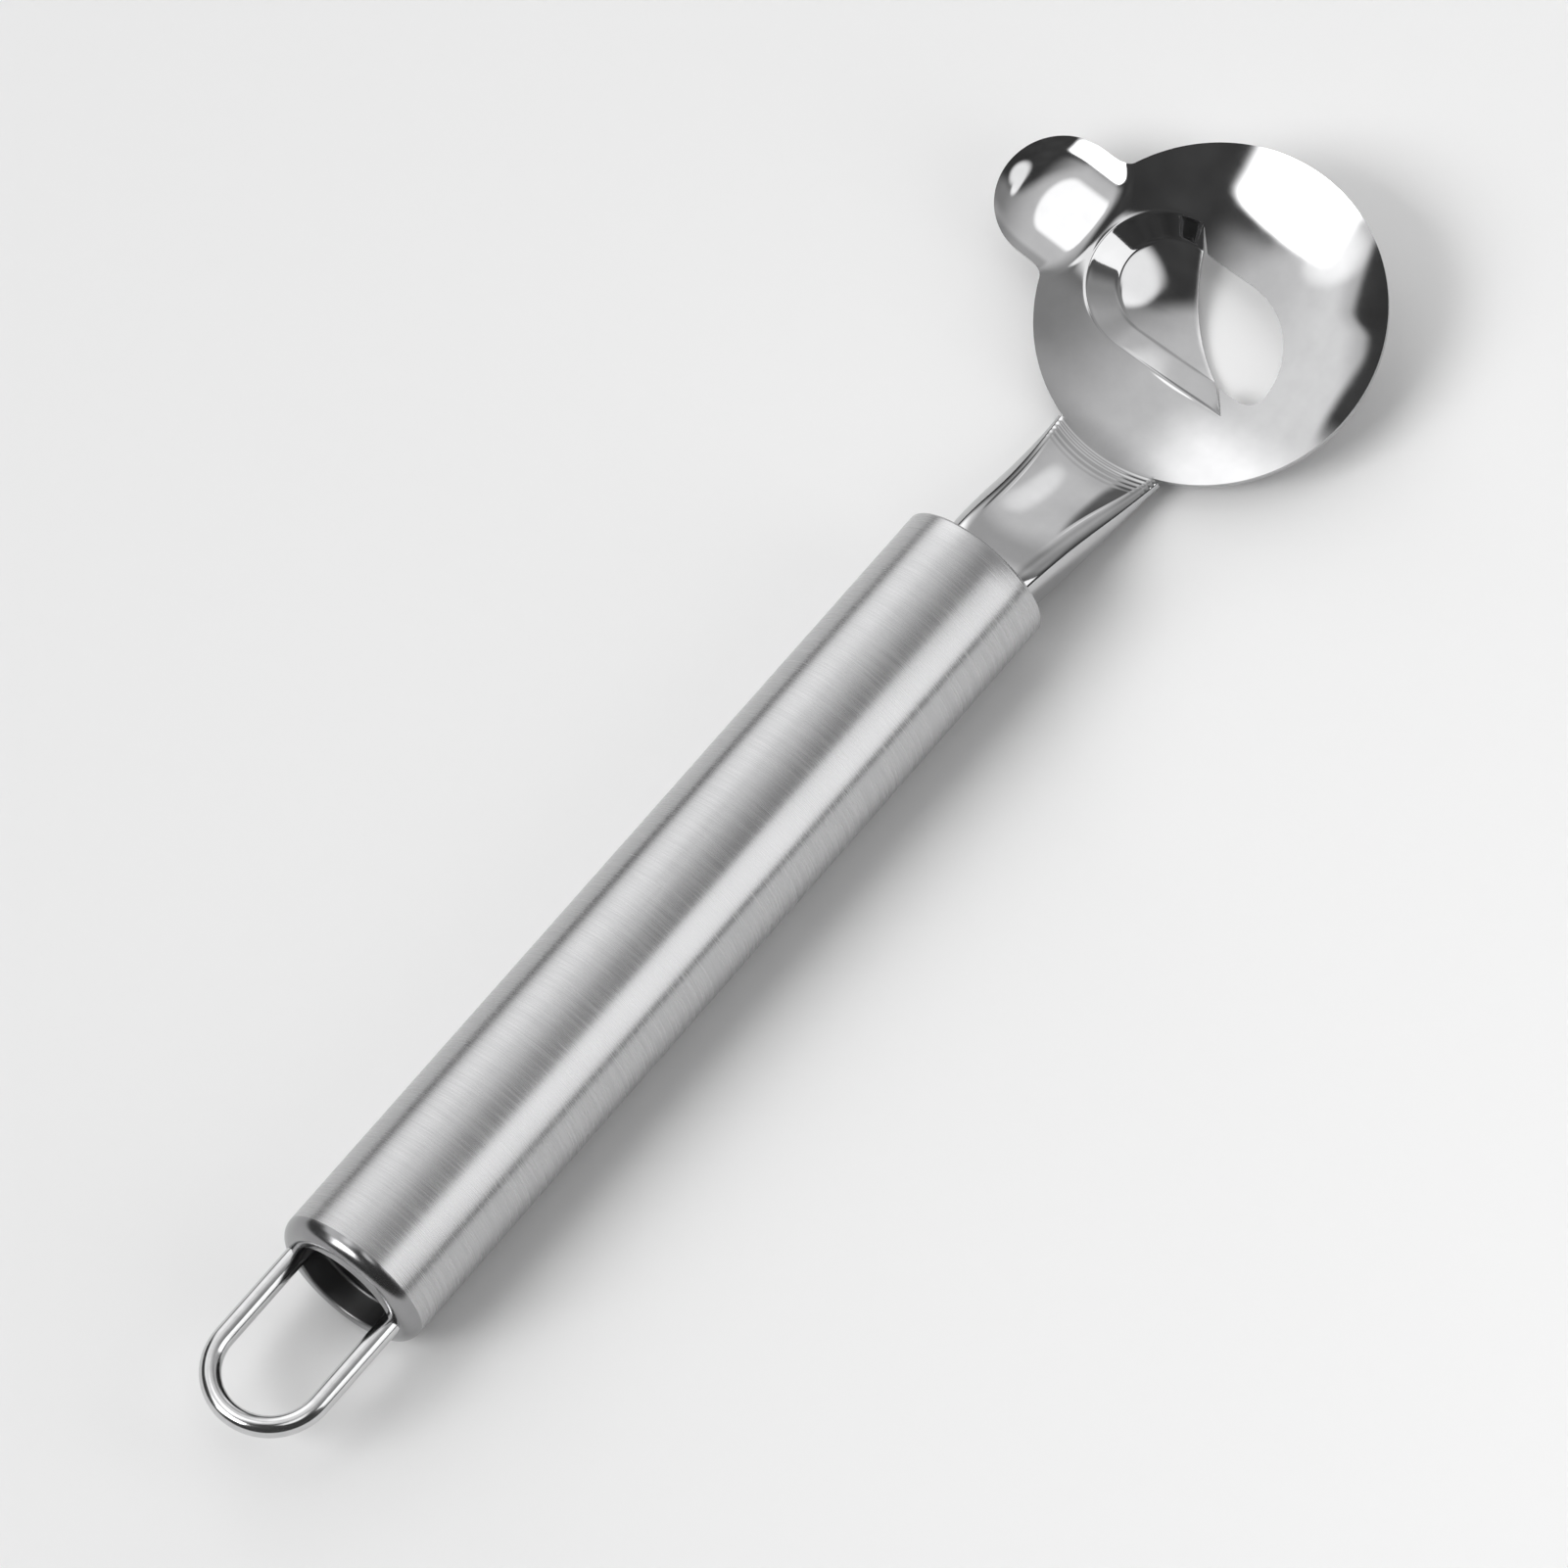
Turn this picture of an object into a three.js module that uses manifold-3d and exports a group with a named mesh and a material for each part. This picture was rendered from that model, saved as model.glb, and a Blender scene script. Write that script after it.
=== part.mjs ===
// Cactus peeler: a dished stainless head with a pressed scoop blade and a small spoon lobe,
// on a hollow round handle with a wire hanging loop.
// Millimetres, +Z up. X runs along the handle to the head, Y points to the spoon lobe.
// The origin is on the table, under the middle of the handle tube.
import * as THREE from 'three';
import { mergeVertices } from 'three/addons/utils/BufferGeometryUtils.js';
import Module from 'manifold-3d';

const wasm = await Module();
wasm.setup();

// Handle tube
const TUBE_DIAMETER = 20;
const TUBE_WALL = 0.5;
const TUBE_LENGTH = 115.6;
const TUBE_EDGE_ROUND = 0.35;

// Fits between the pieces
const PLUG_CLEARANCE = 0.2;
const SLOT_CLEARANCE = 0.25;
const WIRE_CLEARANCE = 0.2;

// Rear cap
const CAP_WALL = 0.6;
const CAP_SKIRT = 6;
const SHOULDER_RADIUS = 2.2;
const RECESS_RADIUS = 6.8;
const RECESS_DEPTH = 3.6;

// Front cap
const FRONT_INSET = 0.6;
const FRONT_SKIRT = 5;

// Hanging loop
const WIRE_DIAMETER = 2.65;
const LOOP_PITCH = 14.2;
const LOOP_REACH = 21.5;
const LOOP_TAIL = 3;

// Head sheet: bowl and spoon lobe
const SHEET = 0.8;
const BOWL_RADIUS = 21.42;
const BOWL_DEPTH = 4.6;
const BOWL_REACH = 44.7;
const BOWL_DROP = 1.82;
const BOWL_PITCH = THREE.MathUtils.degToRad(12.6);
const LOBE_X = 1.1;
const LOBE_Y = 23.7;
const LOBE_RADIUS = 8;
const LOBE_DEPTH = 1.4;
const DISH_BLEND = 0.8;
const NOTCH_BLEND = 2.4;

// Punched opening, beside the cutting line
const CUT_ANGLE = THREE.MathUtils.degToRad(42);
const CUT_OFFSET = 0.25;
const HOLE_HALF_WIDTH = 6.35;
const HOLE_SWEEP = 10.4;
const HOLE_REACH = 10.7;

// Scoop blade, pressed down from the sheet on the other side of the cutting line
const SCOOP_HALF_WIDTH = 9.05;
const SCOOP_ARC_Y = 7.8;
const FLOOR_X = 0.5;
const FLOOR_HALF_WIDTH = 6.1;
const FLOOR_SETBACK = 0.7;
const WALL_DEPTH = 1.8;
const EDGE_DEPTH = 2.4;
const EDGE_HOLLOW = 1.4;

// Neck and tang: a channel of the same sheet
const NECK_WIDTH = 12.8;
const NECK_RISE = 1.2;
const NECK_BEND = 2.8;
const FLANGE_AT_TUBE = 5.9;
const FLANGE_AT_BOWL = 1.2;
const NECK_FLARE = 0.4;
const FLARE_POWER = 6;
const TANG_LENGTH = 24;
const TIGHTEST_BEND = 0.1;
const ROOT_LIP = 0.24;
const ROOT_STEP = 0.2;
const ROOT_OVERLAP = 1.2;
const ROOT_SINK = 0.1;

// Fineness of the facets, and what cutters and welds need
const ROUND_SIDES = 48;
const WIRE_SIDES = 14;
const LOOP_STEPS = 20;
const SHOULDER_STEPS = 6;
const BEND_STEPS = 5;
const EDGE_STEPS = 3;
const NECK_STEPS = 14;
const LOBE_STEPS = 14;
const BOWL_ROWS = 8;
const WALL_ROWS = 3;
const FLOOR_ROWS = 5;
const HOLE_STEPS = 7;
const SLIT_TURN = THREE.MathUtils.degToRad(0.8);
const CUTTER_MARGIN = 1;
const WELD_DISTANCE = 1e-4;

// Sizes that follow
const TUBE_RADIUS = TUBE_DIAMETER / 2;
const BORE_RADIUS = TUBE_RADIUS - TUBE_WALL;
const PLUG_RADIUS = BORE_RADIUS - PLUG_CLEARANCE;
const WIRE_RADIUS = WIRE_DIAMETER / 2;
const REST_HEIGHT = TUBE_RADIUS * Math.cos(Math.PI / ROUND_SIDES);

const { cos, sin, sqrt, atan2, asin, PI } = Math;
const mix = (a, b, t) => a + (b - a) * t;
const smooth = (t) => t * t * (3 - 2 * t);
const steps = (count) => Array.from({ length: count + 1 }, (_, i) => i / count);
const arc = (cx, cy, r, from, to, count) =>
  steps(count).map((t) => [cx + r * cos(mix(from, to, t)), cy + r * sin(mix(from, to, t))]);

// The larger of two sizes, rounded where they come within the blend of each other
function softMax(a, b, blend) {
  const near = Math.max(0, 1 - Math.abs(a - b) / blend);
  return Math.max(a, b) + (near * near * blend) / 4;
}

const polished = new THREE.MeshStandardMaterial({ color: 0xd9dadb, roughness: 0.08, metalness: 1 });
const brushed = new THREE.MeshStandardMaterial({ color: 0xc3c4c6, roughness: 0.34, metalness: 1 });
const pressed = new THREE.MeshStandardMaterial({ color: 0xcbccce, roughness: 0.2, metalness: 1 });

// Share the vertices that meet, and drop the faces that this shrinks to a line
function welded(geometry) {
  const merged = mergeVertices(geometry, WELD_DISTANCE);
  const kept = [];
  for (let i = 0; i < merged.index.count; i += 3) {
    const [a, b, c] = [0, 1, 2].map((k) => merged.index.getX(i + k));
    if (a !== b && b !== c && c !== a) kept.push(a, b, c);
  }
  merged.setIndex(kept);
  return merged;
}

// Closed mesh with shared vertices and its faces pointing out
function closed(geometry) {
  geometry.deleteAttribute('normal');
  geometry.deleteAttribute('uv');
  const merged = welded(geometry);
  const corners = merged.index.array;
  const at = (i) => new THREE.Vector3().fromBufferAttribute(merged.getAttribute('position'), corners[i]);
  let volume = 0;
  for (let i = 0; i < corners.length; i += 3) volume += at(i).dot(at(i + 1).cross(at(i + 2)));
  if (volume < 0) merged.setIndex([...corners].reverse());
  return merged;
}

function facesOf(points, faces) {
  const geometry = new THREE.BufferGeometry();
  geometry.setAttribute('position', new THREE.Float32BufferAttribute(points.flat(), 3));
  geometry.setIndex(faces.flat());
  return closed(geometry);
}

function solid(geometry) {
  const vertProperties = new Float32Array(geometry.getAttribute('position').array);
  const triVerts = new Uint32Array(geometry.index.array);
  return new wasm.Manifold(new wasm.Mesh({ numProp: 3, vertProperties, triVerts }));
}

function geometryOf(manifold) {
  const { vertProperties, triVerts } = manifold.getMesh();
  const geometry = new THREE.BufferGeometry();
  geometry.setAttribute('position', new THREE.BufferAttribute(vertProperties, 3));
  geometry.setIndex(new THREE.BufferAttribute(triVerts, 1));
  return closed(geometry);
}

// Revolve a profile of [x, radius] points about the handle's axis, with a flat side facing down
function revolve(profile) {
  const points = [...profile, profile[0]].map(([x, r]) => new THREE.Vector2(r, x));
  const lathe = new THREE.LatheGeometry(points, ROUND_SIDES, PI / ROUND_SIDES);
  return closed(lathe.rotateZ(-PI / 2));
}

// Skin a row of closed rings, each with the same number of points, and close both ends
function loft(rings, endOutline) {
  const n = rings[0].length;
  const last = (rings.length - 1) * n;
  const faces = [];
  for (let i = 0; i + 1 < rings.length; i++) {
    for (let j = 0; j < n; j++) {
      const [a, b] = [i * n + j, i * n + ((j + 1) % n)];
      faces.push([a, b, b + n], [a, b + n, a + n]);
    }
  }
  const contour = endOutline.map(([y, z]) => new THREE.Vector2(y, z));
  for (const [a, b, c] of THREE.ShapeUtils.triangulateShape(contour, [])) {
    faces.push([a, c, b], [last + a, last + b, last + c]);
  }
  return facesOf(rings.flat(), faces);
}

// Handle tube: rolled sheet, open at both ends, its mouth edge slightly rounded
function handleTube() {
  const edge = TUBE_EDGE_ROUND;
  const mouth = arc(-edge, TUBE_RADIUS - edge, edge, PI / 2, 0, EDGE_STEPS);
  return revolve([[-TUBE_LENGTH, BORE_RADIUS], [-TUBE_LENGTH, TUBE_RADIUS], ...mouth, [0, BORE_RADIUS]]);
}

// Hanging loop's wire: two legs and a half-round end, in the plane of the bowl's sides
const CAP_FACE = -TUBE_LENGTH - SHOULDER_RADIUS;
const RECESS_FLOOR = CAP_FACE + RECESS_DEPTH;
const LEG_OFFSET = LOOP_PITCH / 2;
const LEG_END = RECESS_FLOOR + CAP_WALL + LOOP_TAIL;

function wireRing(x, y, heading, radius) {
  const ring = arc(0, 0, radius, 0, 2 * PI * (1 - 1 / WIRE_SIDES), WIRE_SIDES - 1);
  return ring.map(([across, up]) => [x - across * sin(heading), y + across * cos(heading), up]);
}

function hangingLoop() {
  const bendX = CAP_FACE - LOOP_REACH + LEG_OFFSET + WIRE_RADIUS;
  const bend = steps(LOOP_STEPS).map((t) => {
    const turn = mix(PI / 2, 1.5 * PI, t);
    return wireRing(bendX + LEG_OFFSET * cos(turn), LEG_OFFSET * sin(turn), turn + PI / 2, WIRE_RADIUS);
  });
  const start = wireRing(LEG_END, LEG_OFFSET, PI, WIRE_RADIUS);
  const end = wireRing(LEG_END, -LEG_OFFSET, 2 * PI, WIRE_RADIUS);
  return loft([start, ...bend, end], wireRing(0, 0, 0, WIRE_RADIUS).map(([, y, z]) => [y, z]));
}

// Rear cap: pressed cup with a round shoulder, a round recess and a skirt inside the tube.
// The loop's legs pass through two holes at the edge of the recess.
function rearCap() {
  const rear = -TUBE_LENGTH;
  const bendR = TUBE_RADIUS - SHOULDER_RADIUS;
  const innerBend = SHOULDER_RADIUS - CAP_WALL;
  const skirtBore = PLUG_RADIUS - CAP_WALL;
  const skirtTurn = PI - asin(Math.min(1, (skirtBore - bendR) / innerBend));
  const recessOuter = RECESS_RADIUS + CAP_WALL;
  const cup = solid(revolve([
    [RECESS_FLOOR, 0],
    [RECESS_FLOOR, RECESS_RADIUS],
    [CAP_FACE, RECESS_RADIUS],
    ...arc(rear, bendR, SHOULDER_RADIUS, PI, PI / 2, SHOULDER_STEPS),
    [rear, PLUG_RADIUS],
    [rear + CAP_SKIRT, PLUG_RADIUS],
    [rear + CAP_SKIRT, skirtBore],
    ...arc(rear, bendR, innerBend, skirtTurn, PI, EDGE_STEPS),
    [CAP_FACE + CAP_WALL, recessOuter],
    [RECESS_FLOOR + CAP_WALL, recessOuter],
    [RECESS_FLOOR + CAP_WALL, 0],
  ]));
  const legHole = (y) => {
    const ring = (x) => wireRing(x, y, 0, WIRE_RADIUS + WIRE_CLEARANCE);
    return solid(loft([ring(CAP_FACE - CUTTER_MARGIN), ring(LEG_END)], ring(0).map(([, v, z]) => [v, z])));
  };
  return geometryOf(cup.subtract(legHole(LEG_OFFSET)).subtract(legHole(-LEG_OFFSET)));
}

// Channel section of the neck, as [y, z] points: outside over the top, then back along the inside
function channel(halfWidth, top, depth, wall) {
  const bend = Math.min(NECK_BEND, (1 - TIGHTEST_BEND) * depth);
  const cx = halfWidth - bend;
  const cz = top - bend;
  const side = (r) => [[cx + r, top - depth], ...arc(cx, cz, r, 0, PI / 2, BEND_STEPS)];
  const mirrored = (points) => points.map(([y, z]) => [-y, z]).reverse();
  const outside = side(bend);
  const inside = side(Math.max(bend - wall, TIGHTEST_BEND * bend));
  return [...outside, ...mirrored(outside), ...mirrored(inside).reverse(), ...inside.reverse()];
}

// Front cap: pressed plug just inside the tube's mouth, slotted for the tang
function frontCap() {
  const face = -FRONT_INSET;
  const cup = solid(revolve([
    [face, 0],
    [face, PLUG_RADIUS],
    [face - FRONT_SKIRT, PLUG_RADIUS],
    [face - FRONT_SKIRT, PLUG_RADIUS - CAP_WALL],
    [face - CAP_WALL, PLUG_RADIUS - CAP_WALL],
    [face - CAP_WALL, 0],
  ]));
  const gap = SLOT_CLEARANCE;
  const slot = channel(NECK_WIDTH / 2 + gap, NECK_RISE + gap, FLANGE_AT_TUBE + 2 * gap, SHEET + 2 * gap);
  const ring = (x) => slot.map(([y, z]) => [x, y, z]);
  return geometryOf(cup.subtract(solid(loft([ring(face - FRONT_SKIRT), ring(face + CUTTER_MARGIN)], slot))));
}

// Depth of the bowl's and the lobe's dishes under the rim plane, blended where they meet
function dishDepth(x, y) {
  const bowl = BOWL_DEPTH * (1 - (x * x + y * y) / BOWL_RADIUS ** 2);
  const along = x * cos(LOBE_ANGLE) + y * sin(LOBE_ANGLE);
  const across = y * cos(LOBE_ANGLE) - x * sin(LOBE_ANGLE);
  const past = along - THREE.MathUtils.clamp(along, 0, LOBE_DISTANCE);
  const lobe = LOBE_DEPTH * (1 - (across ** 2 + past ** 2) / LOBE_RADIUS ** 2);
  return softMax(bowl, lobe, DISH_BLEND);
}

// Outline of the rim, seen from the bowl's centre: the bowl's circle, and the lobe's straight sides
// and half circle, with the notches between them rounded
const LOBE_DISTANCE = Math.hypot(LOBE_X, LOBE_Y);
const LOBE_ANGLE = atan2(LOBE_Y, LOBE_X);
const NOTCH_ANGLE = asin(LOBE_RADIUS / BOWL_RADIUS);

function rimPoint(angle) {
  const turn = angle - LOBE_ANGLE;
  const across = Math.abs(sin(turn));
  const side = cos(turn) > 0 ? LOBE_RADIUS / across : 0;
  const onSide = side * cos(turn) < LOBE_DISTANCE;
  const half = sqrt(Math.max(0, LOBE_RADIUS ** 2 - (LOBE_DISTANCE * across) ** 2));
  const round = LOBE_DISTANCE * cos(turn) + half;
  const radius = softMax(BOWL_RADIUS, onSide ? side : round, NOTCH_BLEND);
  return [radius * cos(angle), radius * sin(angle)];
}

// Cutting line: its y at x, and the turn at which a circle meets it; off shifts it into the scoop
const cutY = (x, off) => (CUT_OFFSET + off + x * sin(CUT_ANGLE)) / cos(CUT_ANGLE);
const cutTurn = (cx, cy, r, off) =>
  CUT_ANGLE + asin((CUT_OFFSET + off + cx * sin(CUT_ANGLE) - cy * cos(CUT_ANGLE)) / r);

// Punched opening, from the cutting line's lower end round to its upper end
function holeOutline() {
  const cx = HOLE_HALF_WIDTH - HOLE_SWEEP;
  const corner = 2 * HOLE_HALF_WIDTH - HOLE_SWEEP;
  const sweepY = HOLE_SWEEP - HOLE_REACH;
  const topY = cutY(HOLE_HALF_WIDTH, 0);
  return [
    [-HOLE_HALF_WIDTH, cutY(-HOLE_HALF_WIDTH, 0)],
    ...arc(cx, corner - HOLE_REACH, corner, PI, 1.5 * PI, BEND_STEPS),
    ...arc(cx, sweepY, HOLE_SWEEP, 1.5 * PI, 2 * PI, 2 * HOLE_STEPS).slice(1),
    ...steps(HOLE_STEPS).slice(1).map((t) => [HOLE_HALF_WIDTH, mix(sweepY, topY, t)]),
  ];
}

// Scoop's outer bend line, from the cutting line's upper end over the top to its lower end
const SCOOP_START = cutTurn(0, SCOOP_ARC_Y, SCOOP_HALF_WIDTH, 0);
const SCOOP_TOP = [SCOOP_HALF_WIDTH * cos(SCOOP_START), SCOOP_ARC_Y + SCOOP_HALF_WIDTH * sin(SCOOP_START)];
const SCOOP_TIP = [-SCOOP_HALF_WIDTH, cutY(-SCOOP_HALF_WIDTH, 0)];

function scoopPoint(angle) {
  const side = -SCOOP_HALF_WIDTH / cos(angle);
  const onSide = cos(angle) < 0 && side * sin(angle) < SCOOP_ARC_Y;
  const reach = SCOOP_ARC_Y * cos(angle);
  const radius = onSide ? side : SCOOP_ARC_Y * sin(angle) + sqrt(SCOOP_HALF_WIDTH ** 2 - reach ** 2);
  return [radius * cos(angle), radius * sin(angle)];
}

// Scoop's inner bend line, beside a point of the outer one
const FLOOR_START = cutTurn(FLOOR_X, SCOOP_ARC_Y, FLOOR_HALF_WIDTH, FLOOR_SETBACK);

function floorPoint([x, y]) {
  const left = FLOOR_X - FLOOR_HALF_WIDTH;
  if (y < SCOOP_ARC_Y && x < 0) {
    const along = (SCOOP_ARC_Y - y) / (SCOOP_ARC_Y - SCOOP_TIP[1]);
    return [left, mix(SCOOP_ARC_Y, cutY(left, FLOOR_SETBACK), along)];
  }
  const along = (atan2(y - SCOOP_ARC_Y, x) - SCOOP_START) / (PI - SCOOP_START);
  const turn = mix(FLOOR_START, PI, along);
  return [FLOOR_X + FLOOR_HALF_WIDTH * cos(turn), SCOOP_ARC_Y + FLOOR_HALF_WIDTH * sin(turn)];
}

// Give a sheet, drawn as its upper face, its thickness and its cut edges
function thicken(upper) {
  upper.computeVertexNormals();
  const p = upper.getAttribute('position');
  const normal = upper.getAttribute('normal');
  const points = [];
  for (let i = 0; i < p.count; i++) points.push([p.getX(i), p.getY(i), p.getZ(i)]);
  const lower = points.map(([x, y, z], i) => [x, y, z - SHEET / normal.getZ(i)]);
  const faces = [];
  const edges = new Map();
  for (let i = 0; i < upper.index.count; i += 3) {
    const face = [0, 1, 2].map((k) => upper.index.getX(i + k));
    faces.push(face, face.map((v) => v + p.count).reverse());
    face.forEach((a, k) => edges.set(`${a} ${face[(k + 1) % 3]}`, [a, face[(k + 1) % 3]]));
  }
  for (const [a, b] of edges.values()) {
    if (edges.has(`${b} ${a}`)) continue;
    faces.push([b, a, a + p.count], [b, a + p.count, b + p.count]);
  }
  return facesOf([...points, ...lower], faces);
}

// Head sheet: rim to opening all round, and on along the scoop to its cutting edge
function headSheet() {
  const start = atan2(SCOOP_TOP[1], SCOOP_TOP[0]);
  const end = atan2(SCOOP_TIP[1], SCOOP_TIP[0]) + 2 * PI;
  const notches = [LOBE_ANGLE - NOTCH_ANGLE, LOBE_ANGLE + NOTCH_ANGLE];
  const spread = (from, to, count) => steps(count).map((t) => mix(from, to, t));
  const scoopAngles = [
    ...spread(start, notches[0], BEND_STEPS),
    ...spread(notches[0], notches[1], LOBE_STEPS).slice(1),
    ...spread(notches[1], end, 2 * BOWL_ROWS).slice(1),
  ];
  const hole = holeOutline();
  const holeTurns = hole.map(([x, y]) => (atan2(y, x) - end + 4.5 * PI) % (2 * PI));
  const holeSpan = holeTurns.at(-1) - holeTurns[0];
  const holeAngles = holeTurns.map((turn) =>
    mix(end + SLIT_TURN, start + 2 * PI - SLIT_TURN, (turn - holeTurns[0]) / holeSpan));
  const columns = [
    ...scoopAngles.map((angle) => ({ rim: rimPoint(angle), inner: scoopPoint(angle) })),
    ...holeAngles.map((angle, i) => ({ rim: rimPoint(angle), inner: hole[i] })),
  ];
  const edgeFrom = floorPoint(SCOOP_TOP);
  const edgeTo = floorPoint(SCOOP_TIP);
  const between = (a, b, t) => [mix(a[0], b[0], t), mix(a[1], b[1], t)];
  const onDish = ([x, y], extra) => [x, y, -dishDepth(x, y) - extra];
  const points = [];
  const faces = [];
  const grid = (rows, count) => {
    const first = points.length;
    points.push(...rows.flat());
    const width = rows[0].length;
    for (let i = 0; i + 1 < rows.length; i++) {
      for (let j = 0; j < count; j++) {
        const [a, b] = [first + i * width + j, first + i * width + ((j + 1) % width)];
        faces.push([a, b, b + width], [a, b + width, a + width]);
      }
    }
  };
  grid(steps(BOWL_ROWS).map((t) => columns.map(({ rim, inner }) => onDish(between(rim, inner, t), 0))),
    columns.length);
  const scoop = columns.slice(0, scoopAngles.length).map(({ inner }, j) => {
    const along = j / (scoopAngles.length - 1);
    const bow = 4 * along * (1 - along);
    const foot = floorPoint(inner);
    const chord = between(edgeFrom, edgeTo, along);
    const hollow = EDGE_HOLLOW * bow;
    const edge = [chord[0] - hollow * sin(CUT_ANGLE), chord[1] + hollow * cos(CUT_ANGLE)];
    return [
      ...steps(WALL_ROWS).map((t) => onDish(between(inner, foot, t), WALL_DEPTH * t)),
      ...steps(FLOOR_ROWS).slice(1).map((t) =>
        onDish(between(foot, edge, t), mix(WALL_DEPTH, EDGE_DEPTH, t * bow))),
    ];
  });
  grid(scoop[0].map((_, i) => scoop.map((column) => column[i])), scoop.length - 1);
  const upper = new THREE.BufferGeometry();
  upper.setAttribute('position', new THREE.Float32BufferAttribute(points.flat(), 3));
  upper.setIndex(faces.flat());
  const place = new THREE.Matrix4().makeRotationY(-BOWL_PITCH).setPosition(BOWL_REACH, 0, -BOWL_DROP);
  return thicken(welded(upper)).applyMatrix4(place);
}

// Neck: height of the plate's upper face along the handle, from the tang to the bowl's rim
const RIM_X = BOWL_REACH - BOWL_RADIUS * cos(BOWL_PITCH);
const RIM_Z = -BOWL_DROP - BOWL_RADIUS * sin(BOWL_PITCH);
const RIM_SLOPE = Math.tan(BOWL_PITCH - Math.atan((2 * BOWL_DEPTH) / BOWL_RADIUS));
const FLANGE_END = BOWL_REACH - cos(BOWL_PITCH) * sqrt(BOWL_RADIUS ** 2 - (NECK_WIDTH / 2) ** 2);
const ROOT_DEPTH = SHEET + ROOT_LIP;

function plateHeight(x) {
  if (x <= 0) return NECK_RISE;
  if (x >= RIM_X) return RIM_Z + RIM_SLOPE * (x - RIM_X);
  const t = x / RIM_X;
  return mix(NECK_RISE, RIM_Z, smooth(t)) + RIM_SLOPE * RIM_X * t * t * (t - 1);
}

// Neck and tang: the channel's flanges run out at the rim, and its plate runs into the bowl's sheet
function neck() {
  const flangeFrom = NECK_RISE - FLANGE_AT_TUBE;
  const flangeTo = plateHeight(FLANGE_END) - FLANGE_AT_BOWL;
  const flanged = (x) => {
    const t = Math.max(0, x / FLANGE_END);
    const top = plateHeight(x);
    const flare = NECK_FLARE * t ** FLARE_POWER;
    return channel(NECK_WIDTH / 2 + flare, top, top - mix(flangeFrom, flangeTo, t), SHEET);
  };
  const root = (x, sink) => channel(NECK_WIDTH / 2, plateHeight(x) - sink, ROOT_DEPTH - sink, SHEET);
  const ring = (x, section) => section.map(([y, z]) => [x, y, z]);
  const rings = [
    ring(-TANG_LENGTH, flanged(-TANG_LENGTH)),
    ...steps(NECK_STEPS).map((t) => ring(FLANGE_END * t, flanged(FLANGE_END * t))),
    ring(FLANGE_END + ROOT_STEP, root(FLANGE_END + ROOT_STEP, 0)),
    ring(FLANGE_END + ROOT_OVERLAP, root(FLANGE_END + ROOT_OVERLAP, ROOT_SINK)),
  ];
  return loft(rings, flanged(0));
}

function bladeHead() {
  return geometryOf(solid(headSheet()).add(solid(neck())));
}

const pieces = {
  blade_head: [bladeHead(), polished],
  handle_tube: [handleTube(), brushed],
  front_cap: [frontCap(), pressed],
  rear_cap: [rearCap(), pressed],
  hanging_loop: [hangingLoop(), polished],
};

const peeler = new THREE.Group();
peeler.position.set(TUBE_LENGTH / 2, 0, REST_HEIGHT);
for (const [name, [geometry, material]] of Object.entries(pieces)) {
  const mesh = new THREE.Mesh(geometry, material);
  mesh.name = name;
  peeler.add(mesh);
}

export default peeler;
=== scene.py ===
# Cactus peeler: a polished stainless head with a dished bowl, a spoon lobe and a pressed scoop
# blade, on a satin tube handle with a wire hanging loop. Sizes are in millimetres from the tube's
# mouth, with X along the handle to the head, Y to the spoon lobe and Z up.
import bmesh
import bpy
import numpy as np
from mathutils import Matrix


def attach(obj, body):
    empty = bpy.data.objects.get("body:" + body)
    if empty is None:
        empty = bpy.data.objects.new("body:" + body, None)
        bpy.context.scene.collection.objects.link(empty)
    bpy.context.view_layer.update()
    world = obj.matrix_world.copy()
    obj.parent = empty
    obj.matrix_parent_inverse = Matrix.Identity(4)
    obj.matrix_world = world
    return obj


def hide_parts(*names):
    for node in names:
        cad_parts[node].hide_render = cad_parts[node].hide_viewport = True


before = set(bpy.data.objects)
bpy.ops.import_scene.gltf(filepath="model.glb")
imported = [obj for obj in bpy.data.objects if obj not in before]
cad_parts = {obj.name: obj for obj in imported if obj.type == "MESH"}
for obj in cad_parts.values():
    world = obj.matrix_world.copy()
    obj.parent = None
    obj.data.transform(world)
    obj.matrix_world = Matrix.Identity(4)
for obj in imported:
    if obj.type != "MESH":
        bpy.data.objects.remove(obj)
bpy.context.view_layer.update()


# Handle tube
# A rolled stainless tube with a thin wall, its mouth edge slightly rounded.
# It is brushed in fine rings while it turns, and both caps are pressed into its ends.
TUBE_RADIUS = 9.978
TUBE_WALL = 0.5
TUBE_LENGTH = 115.6
MOUTH_ROUND = 0.35
TUBE_SIDES = 160
TUBE_ROWS = 40
MOUTH_STEPS = 7
CREASE = np.radians(40)
CUT_CORNER = np.radians(45)
MOUTH_FROM_MIDDLE = TUBE_LENGTH / 2
AXIS_HEIGHT = 9.979
MM = 0.001
SATIN_DARK = (0.40, 0.40, 0.405, 1)
SATIN_LIGHT = (0.58, 0.58, 0.585, 1)
RING_GRAIN = (5200, 160, 160)


def arc(cx, cy, radius, start, end, count):
    """Points of a circle's arc: centre plus radius times (cos, sin) of evenly spaced angles."""
    angle = np.linspace(start, end, count)
    return np.stack([cx + radius * np.cos(angle), cy + radius * np.sin(angle)], -1)


def turned(profile, sides):
    """Surface of revolution about the handle's axis: a profile point (x, r) is carried round a
    circle as y = r sin a, z = r cos a, for even steps of the angle a."""
    angle = np.linspace(0, 2 * np.pi, sides, endpoint=False)
    x, r = np.asarray(profile).T[:, :, None]
    return np.stack([x + 0 * angle, r * np.sin(angle), r * np.cos(angle)], -1)


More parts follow.
